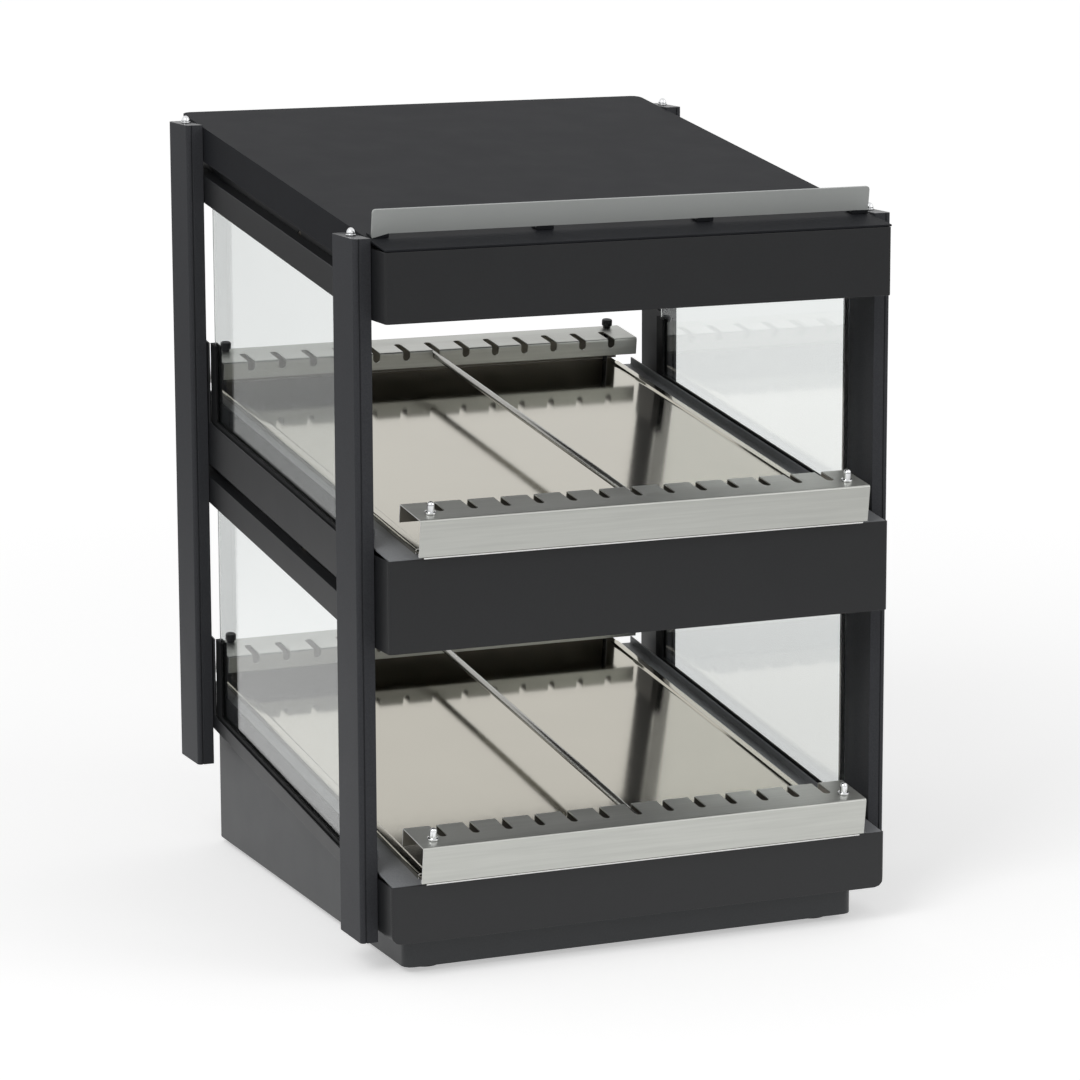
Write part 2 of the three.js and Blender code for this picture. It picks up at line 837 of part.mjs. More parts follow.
function addShelf(tier, height) {
  const shelf = new THREE.Group();
  shelf.position.z = height;
  shelf.rotation.x = slope;
  cabinet.add(shelf);
  const padFront = trayFront + padEndInset;
  const padRear = trayRear - padEndInset;
  const pad = block(-padHalfWidth, padHalfWidth, padFront, padRear, padBottom, padTop);
  piece(`shelf_plate_${tier}`, trayGeometry(), hardcoat, shelf);
  piece(`heater_pad_${tier}`, pad, foil, shelf);
  piece(`rail_front_${tier}`, railGeometry(trayFront, 1, studInset), stainless, shelf);
  piece(`rail_rear_${tier}`, railGeometry(trayRear, -1, thumbInset), stainless, shelf);
  const rod = piece(`divider_rod_${tier}`, rodGeometry(), stainless, shelf);
  rod.position.set(0, (rodFront + rodRear) / 2, slotSeatHeight);
  for (const side of sides) {
    const x = side.sign * studHalfSpacing;
    const stud = piece(`front_stud_${tier}_${side.name}`, studGeometry(), chrome, shelf);
    stud.position.set(x, trayFront + studInset, 0);
    const screw = piece(`thumb_screw_${tier}_${side.name}`, thumbScrewGeometry(), blackPlastic, shelf);
    screw.position.set(x, trayRear - thumbInset, 0);
  }
}

// Card strip that stands square to the sloping canopy, on bent tabs just behind its front edge
function addSignHolder() {
  const bladeBottom = gap + signLift;
  const bladeTop = bladeBottom + signHeight;
  const face = outline([
    [-signHalfWidth, bladeBottom],
    [signHalfWidth, bladeBottom],
    [signHalfWidth, bladeTop, signCorner],
    [-signHalfWidth, bladeTop, signCorner],
  ]);
  const blade = alongY(face, signSetback, signSetback + signThickness);
  const tabSpan = signHalfWidth * 2 - signFootWidth;
  const tabs = [];
  for (let k = 0; k < signFootCount; k += 1) {
    const left = -signHalfWidth + (tabSpan * k) / (signFootCount - 1);
    const profile = outline([
      [signSetback, gap],
      [signSetback + signFootDepth, gap],
      [signSetback + signFootDepth, gap + signFootThickness],
      [signSetback + signThickness, gap + signFootThickness],
      [signSetback + signThickness, bladeBottom + signThickness],
      [signSetback, bladeBottom + signThickness],
    ]);
    tabs.push(alongX(profile, left, left + signFootWidth));
  }
  const holder = piece("sign_holder", join(blade, ...tabs), clearPlastic);
  holder.position.z = canopyTop;
  holder.rotation.x = slope;
}

// Places of the four feet under the pedestal
function footPlaces() {
  const rows = [
    { name: "front", y: pedestalFront + footInset },
    { name: "rear", y: pedestalRear - footInset },
  ];
  const places = [];
  for (const row of rows) {
    for (const side of sides) {
      const x = side.sign * (pedestalHalfWidth - footInset);
      places.push({ name: `${row.name}_${side.name}`, x, y: row.y });
    }
  }
  return places;
}

// Pedestal: an upright-sided shell under the base housing with a rim at its bottom for the feet
function addPedestal() {
  const plan = (inset) =>
    rectangle(
      -pedestalHalfWidth + inset,
      pedestalHalfWidth - inset,
      pedestalFront + inset,
      pedestalRear - inset,
      pedestalCorner - inset,
    );
  const below = (level) =>
    slanted(
      block(
        -pedestalHalfWidth - overrun,
        pedestalHalfWidth + overrun,
        pedestalFront - overrun,
        pedestalRear + overrun,
        -pedestalRear,
        level,
      ),
    );
  const ceiling = pedestalTop + pedestalRear * rise + overrun;
  const outer = common(alongZ(plan(0), footHeight, ceiling), below(pedestalTop));
  const inner = common(alongZ(plan(sheet), footHeight + sheet, ceiling), below(pedestalTop - sheet));
  const opening = block(
    -pedestalHalfWidth + pedestalRim,
    pedestalHalfWidth - pedestalRim,
    pedestalFront + pedestalRim,
    pedestalRear - pedestalRim,
    footHeight - overrun,
    footHeight + sheet + overrun,
  );
  const window = block(
    -panelHalfWidth + panelWindowMargin,
    panelHalfWidth - panelWindowMargin,
    pedestalRear - sheet - overrun,
    pedestalRear + overrun,
    panelBase + panelWindowMargin,
    panelBase + panelHeight - panelWindowMargin,
  );
  const stemHoles = footPlaces().map(({ x, y }) =>
    rodAlongZ(footStemHoleRadius, x, y, footHeight - overrun, footHeight + sheet + overrun),
  );
  piece("base_pedestal", cut(outer, inner, opening, window, ...stemHoles), greyPaint);
  const footProfile = [
    [0, 0],
    [footRadius, 0],
    [footRadius, footHeight - gap],
    [footStemRadius, footHeight - gap],
    [footStemRadius, footStemHeight],
    [0, footStemHeight],
  ];
  for (const { name, x, y } of footPlaces()) {
    const foot = piece(`foot_${name}`, turned(footProfile, turnSteps), blackRubber);
    foot.position.set(x, y, 0);
  }
}

// Thermostat knob with a ribbed edge, a pointer groove and its shaft, turned out along +Z
function knobGeometry() {
  const body = alongZ(ribbedCircle(knobRadius, knobRibs, knobRibDepth), gap, knobHeight);
  const shaft = rodAlongZ(knobShaftRadius, 0, 0, -knobShaftLength, gap + knobPointerDepth);
  const pointer = block(
    -knobPointerWidth / 2,
    knobPointerWidth / 2,
    -knobRadius - overrun,
    0,
    knobHeight - knobPointerDepth,
    knobHeight + overrun,
  );
  return cut(join(body, shaft), pointer);
}

// Rocker with sides that follow an arc about its pivot and two faces that meet in a valley
function rockerGeometry() {
  const radius = rockerLength / 2;
  const [low, high] = rockerSideDegrees.map(THREE.MathUtils.degToRad);
  const points = [];
  for (let k = 0; k <= bendSteps; k += 1) {
    const angle = low + ((high - low) * k) / bendSteps;
    points.push(new THREE.Vector2(radius * Math.cos(angle), radius * Math.sin(angle)));
  }
  points.push(new THREE.Vector2(0, rockerValley));
  for (let k = 0; k <= bendSteps; k += 1) {
    const angle = Math.PI - high + ((high - low) * k) / bendSteps;
    points.push(new THREE.Vector2(radius * Math.cos(angle), radius * Math.sin(angle)));
  }
  return alongZ(new THREE.Shape(points), -rockerWidth / 2, rockerWidth / 2);
}

// Cable gland with a hexagonal nut, a domed cap and a bore right through
function glandGeometry() {
  const nut = new THREE.CylinderGeometry(glandNutRadius, glandNutRadius, glandNutHeight - gap, 6);
  nut.rotateX(Math.PI / 2).translate(0, 0, (glandNutHeight + gap) / 2);
  const profile = [
    [0, -glandThreadLength],
    [glandThreadRadius, -glandThreadLength],
    [glandThreadRadius, gap + sheet],
    [glandRadius, glandNutHeight - sheet],
    ...dome(glandRadius, glandNutHeight, glandHeight - glandNutHeight),
  ];
  const cap = turned(profile, turnSteps);
  const bore = rodAlongZ(glandBoreRadius, 0, 0, -glandThreadLength - overrun, glandHeight + overrun);
  return cut(join(nut, cap), bore);
}

function addControls() {
  const panelMiddle = panelBase + panelHeight / 2;
  const through = [pedestalRear - overrun, panelFace + overrun + bezelHeight];
  const glandX = panelHalfWidth * glandShare;
  const knobPlaces = [
    { name: "upper", x: panelHalfWidth * upperKnobShare },
    { name: "lower", x: panelHalfWidth * lowerKnobShare },
  ];
  const rockerPlaces = [
    { name: "power", x: panelHalfWidth * powerRockerShare },
    { name: "light", x: panelHalfWidth * lightRockerShare },
  ];
  const aperture = (x, margin) =>
    rectangle(
      x - rockerWidth / 2 - margin,
      x + rockerWidth / 2 + margin,
      panelMiddle - rockerLength / 2 - margin,
      panelMiddle + rockerLength / 2 + margin,
    );
  const holeAt = (radius, x) =>
    rodAlongZ(radius, x, -panelMiddle, ...through).rotateX(-Math.PI / 2);
  const plate = rectangle(-panelHalfWidth, panelHalfWidth, panelBase, panelBase + panelHeight, panelCorner);
  const bezels = rockerPlaces.map(({ x }) =>
    alongY(aperture(x, rockerClear + bezelWidth), pedestalRear + gap, panelFace + bezelHeight),
  );
  const cutters = [
    ...knobPlaces.map(({ x }) => holeAt(knobShaftHoleRadius, x)),
    ...rockerPlaces.map(({ x }) => alongY(aperture(x, rockerClear), ...through)),
    holeAt(glandHoleRadius, glandX),
  ];
  const panel = join(alongY(plate, pedestalRear + gap, panelFace), ...bezels);
  piece("control_panel", cut(panel, ...cutters), stainless);

  for (const { name, x } of knobPlaces) {
    const knob = piece(`thermostat_knob_${name}`, knobGeometry(), blackPlastic);
    knob.rotation.x = -Math.PI / 2;
    knob.position.set(x, panelFace, panelMiddle);
  }
  for (const { name, x } of rockerPlaces) {
    const rocker = piece(`rocker_switch_${name}`, rockerGeometry(), blackPlastic);
    rocker.rotation.set(0, Math.PI / 2, -THREE.MathUtils.degToRad(rockerTiltDegrees));
    rocker.position.set(x, panelFace + bezelHeight - rockerPivotDepth, panelMiddle);
  }
  const gland = piece("cable_gland", glandGeometry(), blackPlastic);
  gland.rotation.x = -Math.PI / 2;
  gland.position.set(glandX, panelFace, panelMiddle);
}

addPosts();
addHousings();
addCanopy();
addFascias();
const tiers = [
  { name: "upper", height: upperShelfHeight },
  { name: "lower", height: lowerShelfHeight },
];
for (const tier of tiers) {
  for (const side of sides) {
    addWindow(tier.name, tier.height, side);
  }
  addShelf(tier.name, tier.height);
}
addSignHolder();
addPedestal();
addControls();

// The origin is the middle of the footprint, on the ground
const model = new THREE.Group();
model.add(cabinet);
const extent = new THREE.Box3().setFromObject(model, true);
cabinet.position.y = -extent.getCenter(new THREE.Vector3()).y;

export default model;
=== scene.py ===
"""Heated shelf merchandiser: the looks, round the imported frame. Metres, +Z up, the front faces -Y."""
import json
import math

import bmesh
import bpy
from mathutils import Matrix, Vector


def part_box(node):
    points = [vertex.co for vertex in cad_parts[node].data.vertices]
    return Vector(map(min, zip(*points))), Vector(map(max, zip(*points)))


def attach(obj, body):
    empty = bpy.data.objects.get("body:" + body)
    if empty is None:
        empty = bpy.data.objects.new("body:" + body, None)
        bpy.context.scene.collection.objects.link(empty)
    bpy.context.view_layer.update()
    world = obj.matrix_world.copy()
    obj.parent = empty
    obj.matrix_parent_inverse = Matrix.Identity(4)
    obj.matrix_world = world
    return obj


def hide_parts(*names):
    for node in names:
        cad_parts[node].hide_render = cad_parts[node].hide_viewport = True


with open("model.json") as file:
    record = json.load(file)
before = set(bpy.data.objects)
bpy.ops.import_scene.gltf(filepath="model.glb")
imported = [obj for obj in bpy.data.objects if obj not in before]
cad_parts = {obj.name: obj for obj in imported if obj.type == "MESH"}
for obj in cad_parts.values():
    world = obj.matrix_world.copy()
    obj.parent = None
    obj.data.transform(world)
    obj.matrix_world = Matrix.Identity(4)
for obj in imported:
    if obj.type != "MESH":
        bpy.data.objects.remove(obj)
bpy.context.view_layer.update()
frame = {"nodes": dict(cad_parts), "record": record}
NODES = frame["nodes"]
JOINTS = {joint["name"]: joint for joint in frame["record"]["behaviour"]["joints"]}
SIDES = ("left", "right")
ROWS = ("front", "rear")
TIERS = ("upper", "lower")
CABINET = "cabinet"
MM = 0.001

# The photograph's camera, fitted to its edges, in the row frame
CAMERA_PLACE = Vector((-1.31094, -3.08869, 0.92257))
CAMERA_YAW = math.radians(23.190)
CAMERA_PITCH = math.radians(10.629)
CAMERA_ROLL = math.radians(-0.174)
CAMERA_FOCAL_PIXELS = 4101.5
CAMERA_REACH = 50.0
PHOTO_PIXELS = 1080
SENSOR = 36.0

# Surroundings: a white world that lights less than it shows, and two square lamps, each with its place
# in metres and its power in watts
WHITE = (1, 1, 1, 1)
WORLD_LIGHT = 0.45
LAMPS = {"key": ((-2.2, -1.6, 2.6), 34), "fill": ((2.4, -2.0, 1.8), 14)}
LAMP_SIDE = 1.6
LAMP_TARGET = Vector((0, 0, 0.3))

# The floor: its colour, and levels by distance as (near, far, distance where it starts, where it ends).
# All three are painted light in the floor. The lift is a glow that brightens it where it is seen directly
# or through glass, less near the cabinet, which leaves a painted shade round it. The sheen is a glow seen
# only where metal and paint reflect it, strong near the cabinet: a painted reflection. The fade darkens
# its
# colour in those reflections far off: painted shade in the reflections.
FLOOR_HALF = 20.0
FLOOR_PALE = (0.9, 0.9, 0.9, 1)
FLOOR_DARK = (0.1, 0.1, 0.1, 1)
FLOOR_LIFT = (0.44, 0.6, 0.5, 3.2)
FLOOR_SHEEN = (0.55, 0.0, 0.3, 2.4)
FLOOR_FADE = (0.0, 0.7, 0.6, 3.4)

# The frame of a shelf slopes with it, with its origin on the plate's top between the thumb screws.
# These are millimetres in it: the seat of studs and screws on the rails, the rails' depth, outer faces
# and ends, the way from studs to screws, and the limits of the housing's rim beside the tray. The rim gets
# a much lighter paint than the housing, which is painted light where the rim lies in shade.
SLOPE = math.radians(8)
RAIL_SEAT = 30.3
RAIL_DEPTH = 44.5
FRONT_RAIL_FACE = -485.9
REAR_RAIL_FACE = 8.4
RAIL_END = 190.0
STUD_TO_SCREW = 470.8
RIM_INNER = 178.0
RIM_LOW = -4.5
RIM_HIGH = 3.5

# The card strip on the canopy: the origin of its sloping frame in metres, and in it, in millimetres,
# the back of its blade and the tops of the tabs under the blade and of the foot behind it. Below these
# tops the strip is painted dark, as painted shade for the shadow line under the strip.
SIGN_PLACE = Vector((0, -0.206636, 0.574))
SIGN_BACK = 9.25
SIGN_TAB_TOP = 2.9
SIGN_FOOT_TOP = 5.9

# The control panel's outer face and the height of its controls, in metres
PANEL_FACE = JOINTS["thermostat_upper_turn"]["pos_m"][1]
PANEL_MIDDLE = JOINTS["thermostat_upper_turn"]["pos_m"][2]


# Camera


def make_camera():
    """The photograph's camera: turned to the right, tilted down, and rolled a little."""
    forward = Vector(
        (
            math.sin(CAMERA_YAW) * math.cos(CAMERA_PITCH),
            math.cos(CAMERA_YAW) * math.cos(CAMERA_PITCH),
            -math.sin(CAMERA_PITCH),
        )
    )
    level = Vector((math.cos(CAMERA_YAW), -math.sin(CAMERA_YAW), 0))
    upright = level.cross(forward)
    right = level * math.cos(CAMERA_ROLL) + upright * math.sin(CAMERA_ROLL)
    up = upright * math.cos(CAMERA_ROLL) - level * math.sin(CAMERA_ROLL)
    data = bpy.data.cameras.new("photo_camera")
    data.sensor_width = SENSOR
    data.lens = CAMERA_FOCAL_PIXELS / PHOTO_PIXELS * SENSOR
    data.clip_end = CAMERA_REACH
    camera = bpy.data.objects.new("photo_camera", data)
    bpy.context.scene.collection.objects.link(camera)
    turn = Matrix((right, up, -forward)).transposed().to_4x4()
    camera.matrix_world = Matrix.Translation(CAMERA_PLACE) @ turn
    bpy.context.scene.camera = camera


# Materials

GLASS_TINT = (0.93, 0.95, 0.94, 1)
NOISE_ROUGHNESS = 0.55
# Part of a noise over which a ramp runs: the usual one, and a wider one for slow drifts of tone
USUAL = (0.3, 0.7)
WIDE = (0.2, 0.8)


def hex_colour(text):
    """Linear colour, with alpha, of a screen colour written as six hex digits."""
    parts = [int(text[i : i + 2], 16) / 255 for i in (0, 2, 4)]
    return tuple(p / 12.92 if p <= 0.04045 else ((p + 0.055) / 1.055) ** 2.4 for p in parts) + (1.0,)


def scaled(colour, factor):
    """The colour made lighter or darker, with full alpha."""
    return tuple(min(1, c * factor) for c in colour[:3]) + (1.0,)


class Tree:
    """A node tree, with short calls for what the materials and the world share."""

    def __init__(self, tree):
        self.tree = tree

    def add(self, kind, **settings):
        node = self.tree.nodes.new(kind)
        for key, value in settings.items():
            setattr(node, key, value)
        return node

    def link(self, source, target):
        self.tree.links.new(source, target)

    def combine(self, operation, a, b, **settings):
        """Result of a math node on two values."""
        node = self.add("ShaderNodeMath", operation=operation, **settings)
        self.link(a, node.inputs[0])
        self.link(b, node.inputs[1])
        return node.outputs["Value"]


class Finish(Tree):
    """A material with its shader, and with textures in the object's own coordinates."""

    def __init__(self, name):
        self.name = name
        self.material = bpy.data.materials.new(name)
        self.material.use_nodes = True
        super().__init__(self.material.node_tree)
        self.shader = self.tree.nodes["Principled BSDF"]
        self.place = self.add("ShaderNodeTexCoord").outputs["Object"]

    def set(self, **values):
        """Sets inputs of the shader to plain values; _ stands for a space in their names."""
        for key, value in values.items():
            self.shader.inputs[key.replace("_", " ")].default_value = value

    def feed(self, name, source):
        """Links a texture to an input of the shader."""
        self.link(source, self.shader.inputs[name])

    def show(self, shader):
        """Makes another shader the surface."""
        self.link(shader, self.tree.nodes["Material Output"].inputs["Surface"])

    def noise(self, scale, detail=3, stretch=(1, 1, 1)):
        """Noise with that many cells to the metre, longer along an axis whose stretch is small."""
        mapping = self.add("ShaderNodeMapping")
        mapping.inputs["Scale"].default_value = stretch
        self.link(self.place, mapping.inputs["Vector"])
        noise = self.add("ShaderNodeTexNoise")
        noise.inputs["Scale"].default_value = scale
        noise.inputs["Detail"].default_value = detail
        noise.inputs["Roughness"].default_value = NOISE_ROUGHNESS
        self.link(mapping.outputs["Vector"], noise.inputs["Vector"])
        return noise.outputs["Fac"]

    def ramp(self, source, low, high, limits=USUAL):
        """Maps a factor to a range of colours or of values."""
        ramp = self.add("ShaderNodeValToRGB")
        for element, position, level in zip(ramp.color_ramp.elements, limits, (low, high)):
            element.position = position
            element.color = level if isinstance(level, tuple) else (level, level, level, 1)
        self.link(source, ramp.inputs["Fac"])
        return ramp.outputs["Color"]

    def tones(self, source, colour, low, high, limits=USUAL):
        """Maps a factor to the colour made darker or lighter, by factors from low to high."""
        return self.ramp(source, scaled(colour, low), scaled(colour, high), limits)

    def mix(self, a, b, share):
        """Mixes the stated share of b into a."""
        mix = self.add("ShaderNodeMix", data_type="RGBA")
        mix.inputs["Factor"].default_value = share
        self.link(a, mix.inputs["A"])
        self.link(b, mix.inputs["B"])
        return mix.outputs["Result"]

    def bump(self, source, strength, depth):
        """Fine relief of the stated depth in metres."""
        bump = self.add("ShaderNodeBump")
        bump.inputs["Strength"].default_value = strength
        bump.inputs["Distance"].default_value = depth
        self.link(source, bump.inputs["Height"])
        self.feed("Normal", bump.outputs["Normal"])


def powder_coat(name, screen_colour, roughness, drift=0.03, grain=0.1, specular=0.25):
    """Fine textured paint: a slow drift of tone, a speckle and an orange-peel surface."""
    n = Finish(name)
    n.set(Specular_IOR_Level=specular)
    colour = hex_colour(screen_colour)
    slow = n.tones(n.noise(scale=6), colour, 1 - drift, 1 + drift, WIDE)
    speckle = n.tones(n.noise(scale=800), colour, low=0.7, high=1.32)
    n.feed("Base Color", n.mix(slow, speckle, share=0.4))
    uneven = n.noise(scale=30, detail=4)
    n.feed("Roughness", n.ramp(uneven, roughness - 0.015, roughness + 0.015))
    n.bump(n.noise(scale=900, detail=2), strength=grain, depth=0.00012)
    return n


def brushed_metal(name, screen_colour, roughness, stretch):
    """Metal with a fine grain that runs along the axis whose stretch is small, and faint smudges."""
    n = Finish(name)
    n.set(Metallic=0.85, Anisotropic=0.4)
    colour = hex_colour(screen_colour)
    grain = n.noise(scale=420, stretch=stretch)
    smudge = n.noise(scale=14, detail=4)
    grain_tone = n.tones(grain, colour, low=0.9, high=1.1)
    smudge_tone = n.tones(smudge, colour, low=0.94, high=1.05)
    n.feed("Base Color", n.mix(grain_tone, smudge_tone, share=0.4))
    grain_rough = n.ramp(grain, roughness - 0.05, roughness + 0.05)
    smudge_rough = n.ramp(smudge, roughness - 0.04, roughness + 0.05)
    n.feed("Roughness", n.mix(grain_rough, smudge_rough, share=0.5))
    n.bump(grain, strength=0.08, depth=0.00005)
    return n


def plain_finish(
    name, screen_colour, roughness, metallic=0.0, grain=0.1, scale=700, specular=0.5, drift=0.06
):
    """Moulded or polished surface with a slight drift of tone and roughness."""
    n = Finish(name)
    n.set(Metallic=metallic, Specular_IOR_Level=specular)
    tone = n.tones(n.noise(scale=11), hex_colour(screen_colour), 1 - drift, 1 + drift, WIDE)
    n.feed("Base Color", tone)
    n.feed("Roughness", n.ramp(n.noise(scale=90), roughness * 0.9, roughness * 1.1))
    n.bump(n.noise(scale, detail=2), strength=grain, depth=0.00008)
    return n


def clear_sheet(name, screen_colour, roughness, ior):
    """Glass or clear plastic that lets lamp light through instead of throwing a dark shadow."""
    n = Finish(name)
    n.set(IOR=ior, Transmission_Weight=1.0)
    n.feed("Base Color", n.tones(n.noise(scale=7), hex_colour(screen_colour), low=0.985, high=1))
    n.feed("Roughness", n.ramp(n.noise(scale=40, detail=4), roughness, roughness + 0.02))
    see_through = n.add("ShaderNodeBsdfTransparent")
    see_through.inputs["Color"].default_value = GLASS_TINT
    ray = n.add("ShaderNodeLightPath").outputs
    choose = n.add("ShaderNodeMixShader")
    n.link(n.combine("MAXIMUM", ray["Is Shadow Ray"], ray["Is Diffuse Ray"]), choose.inputs["Fac"])
    n.link(n.shader.outputs["BSDF"], choose.inputs[1])
    n.link(see_through.outputs["BSDF"], choose.inputs[2])
    n.show(choose.outputs["Shader"])
    return n


def make_materials():
    """Material of each finish by its name. Those that carry a slot's name dress that slot's nodes."""
    finishes = (
        powder_coat("post_coat", "3e3f42", 0.45, drift=0.04, grain=0.08, specular=0.08),
        powder_coat("post_end", "4a4b4d", 0.35, drift=0.04, grain=0.08),
        powder_coat("dark_paint", "161719", 0.42, specular=0.45),
        # Much lighter copy of the housing's dark paint for the rim beside the tray: painted light where it
        # lies in shade
        powder_coat("rim_lit_paint", "8c8e91", 0.4, specular=0.4),
        # Dark paint for the sign strip's tabs and foot: painted shade, the shadow line under the strip
        powder_coat("grey_paint", "202124", 0.6, specular=0.08),
        powder_coat("pedestal_paint", "303234", 0.45, specular=0.4),
        plain_finish("plate", "b4b0a4", 0.1, metallic=1.0, grain=0.02, drift=0.02),
        # Darker, duller copy of the rails' steel for their hollow sides: painted shade
        plain_finish("rail_inside_shade", "827e75", 0.45, metallic=0.6, grain=0.2),
        # Near-white finish for the rails' cut ends and the plates' end faces: painted highlight along them
        plain_finish("edge_highlight", "f4f4f2", 0.35, metallic=0.3, grain=0.02),
        brushed_metal("rod_steel", "a8a7a2", 0.24, stretch=(1, 1, 0.03)),
        brushed_metal("stainless", "bdbeb9", 0.4, stretch=(0.03, 1, 1)),
        clear_sheet("glass", "f4f7f6", 0.0, ior=1.7),
        clear_sheet("glass_edge", "f6faf8", 0.3, ior=1.5),
        plain_finish("chrome", "e2e3e4", 0.08, metallic=1.0, grain=0.02),
        plain_finish("gasket", "0d0e0f", 0.6, grain=0.3, specular=0.15),
        plain_finish("rubber", "0f0f10", 0.7, grain=0.4, specular=0.2),
        plain_finish("black_plastic", "18191b", 0.42, grain=0.25),
        plain_finish("sheath", "7a746b", 0.42, metallic=1.0, grain=0.2),
        plain_finish("foil", "a19d96", 0.4, metallic=1.0, grain=0.6, scale=260),
        plain_finish("clear_strip", "aeb1af", 0.35, grain=0.02, drift=0.02),
    )
    return {finish.name: finish.material for finish in finishes}


MATERIALS = make_materials()


# Dressing of the solids that keep their own shape

# Radius of the softened edges, in millimetres: thin sheet has less than castings and glass
EDGE_RADII = {
    "stainless": 0.22,
    "plate": 0.22,
    "glass": 0.45,
    "post_coat": 0.35,
    "gasket": 0.3,
    "clear_strip": 0.3,
    "foil": 0.6,
}
PAINT_EDGE_RADIUS = 0.4
WELD_DISTANCE = 0.02
# Degrees by which neighbouring faces turn at most to be one flat face, and at least to be a fold
FLAT_DEGREES = 0.5
FOLD_DEGREES = 40
# Share of a face's normal from which it counts as facing along an axis, or as leaning that way
FACING = 0.9
LEANING = 0.5


def soften(obj, radius, segments, degrees):
    """Rounds the edges at which faces turn by more than the stated degrees."""
    edge = obj.modifiers.new("soft_edges", "BEVEL")
    edge.width = radius * MM
    edge.segments = segments
    edge.limit_method = "ANGLE"
    edge.angle_limit = math.radians(degrees)
    return edge


def dress(node, slot):
    """Gives a CAD node its material and softens its folded edges."""
    obj = NODES[node]
    obj.data.materials.clear()
    obj.data.materials.append(MATERIALS[slot])
    obj.data.shade_smooth()
    weld = obj.modifiers.new("join_facets", "WELD")
    weld.merge_threshold = WELD_DISTANCE * MM
    flat = obj.modifiers.new("merge_facets", "DECIMATE")
    flat.decimate_type = "DISSOLVE"
    flat.angle_limit = math.radians(FLAT_DEGREES)
    flat.delimit = {"MATERIAL"}
    edge = soften(obj, EDGE_RADII.get(slot, PAINT_EDGE_RADIUS), segments=2, degrees=FOLD_DEGREES)
    edge.use_clamp_overlap = False
    smooth = obj.modifiers.new("even_shading", "WEIGHTED_NORMAL")
    smooth.keep_sharp = True


def sloping_frame(origin):
    """Frame that slopes with the shelves and the canopy."""
    return Matrix.Translation(origin) @ Matrix.Rotation(SLOPE, 4, "X")


def shelf_frame(tier):
    """Frame of a shelf, level with its plate's top, with its origin between the thumb screws."""
    _, y, z = JOINTS[f"thumb_screw_{tier}_left_turn"]["pos_m"]
    return sloping_frame((0, y, z))


def paint_faces(node, finish, chosen, frame_of_faces=Matrix()):
    """Gives a second finish to those faces of a node that chosen(centre, normal) picks, in millimetres."""
    obj = NODES[node]
    obj.data.materials.append(MATERIALS[finish])
    inverse = frame_of_faces.inverted()
    for polygon in obj.data.polygons:
        if chosen(inverse @ polygon.center / MM, inverse.to_3x3() @ polygon.normal):
            polygon.material_index = len(obj.data.materials) - 1


# Rules that pick faces for paint_faces by their centre and normal


# Picks the sign strip's tabs and foot, which get the painted shade
def is_sign_shade_line(centre, normal):
    return centre.z < SIGN_TAB_TOP or (centre.y > SIGN_BACK and centre.z < SIGN_FOOT_TOP)


def is_post_end(centre, normal):
    return abs(normal.z) > FACING


def is_glass_edge(centre, normal):
    return abs(normal.x) < LEANING


# Picks the rails' cut ends, which get the painted highlight
def is_rail_end_highlight(centre, normal):
    return abs(normal.x) > FACING and abs(centre.x) > RAIL_END


# Picks the plates' end faces, which get the painted highlight
def is_plate_end_highlight(centre, normal):
    return abs(normal.y) > FACING


# Picks the housing's rim beside the tray, which gets the painted light
def is_lit_rim(centre, normal):
    return abs(centre.x) > RIM_INNER and RIM_LOW < centre.z < RIM_HIGH


def shaded_inside_of_rail(outer_face, inward):
    """Rule for the faces on the hollow side of a rail, which get a darker, duller copy of the steel as
    painted shade; inward is the way from its outer wall, 1 or -1.
    """
    middle = outer_face + inward * RAIL_DEPTH / 2

    def rule(centre, normal):
        toward = normal.y * inward
        near_outer = (centre.y - middle) * inward < 0
        hidden_wall = (toward > LEANING and near_outer) or (toward < -LEANING and not near_outer)
        return normal.z < -LEANING or hidden_wall

    return rule


def dress_solids():
    """Dresses each node in its slot's finish, then repaints the pedestal, the post ends and the glass
    edges,
    and paints light and shade: a painted highlight on the rails' cut ends and the plates' end faces,
    painted shade on the rails' hollow sides and on the sign strip's tabs and foot, and painted light on
    the housings' rim.
    """
    for entry in frame["record"]["subparts"]:
        dress(entry["node"], entry["material_slot"])
    NODES["base_pedestal"].data.materials[0] = MATERIALS["pedestal_paint"]
    # The sign strip's tabs and foot get dark paint: painted shade under the strip
    paint_faces("sign_holder", "grey_paint", is_sign_shade_line, sloping_frame(SIGN_PLACE))
    for side in SIDES:
        for row in ROWS:
            paint_faces(f"post_{row}_{side}", "post_end", is_post_end)
        for tier in TIERS:
            paint_faces(f"glass_{tier}_{side}", "glass_edge", is_glass_edge)
    hollows = {"front": shaded_inside_of_rail(FRONT_RAIL_FACE, 1), "rear": shaded_inside_of_rail(REAR_RAIL_FACE, -1)}
    for tier, housing in zip(TIERS, ("middle_housing", "base_housing")):
        place = shelf_frame(tier)
        for row, hollow in hollows.items():
            # The rails' hollow sides get the darker copy of the steel: painted shade
            paint_faces(f"rail_{row}_{tier}", "rail_inside_shade", hollow, place)
            # The rails' cut ends, and on the next line the plates' end faces, get the painted highlight
            paint_faces(f"rail_{row}_{tier}", "edge_highlight", is_rail_end_highlight)
        paint_faces(f"shelf_plate_{tier}", "edge_highlight", is_plate_end_highlight, place)
        # The housing's rim gets a much lighter paint: painted light on a band that lies in shade
        paint_faces(housing, "rim_lit_paint", is_lit_rim, place)


# Mesh tools for the detailed pieces, in millimetres

SHARP_DEGREES = 35
# How far the wave of the ribs is steepened, so that ribs and grooves get flats
RIB_STEEPNESS = 1.8


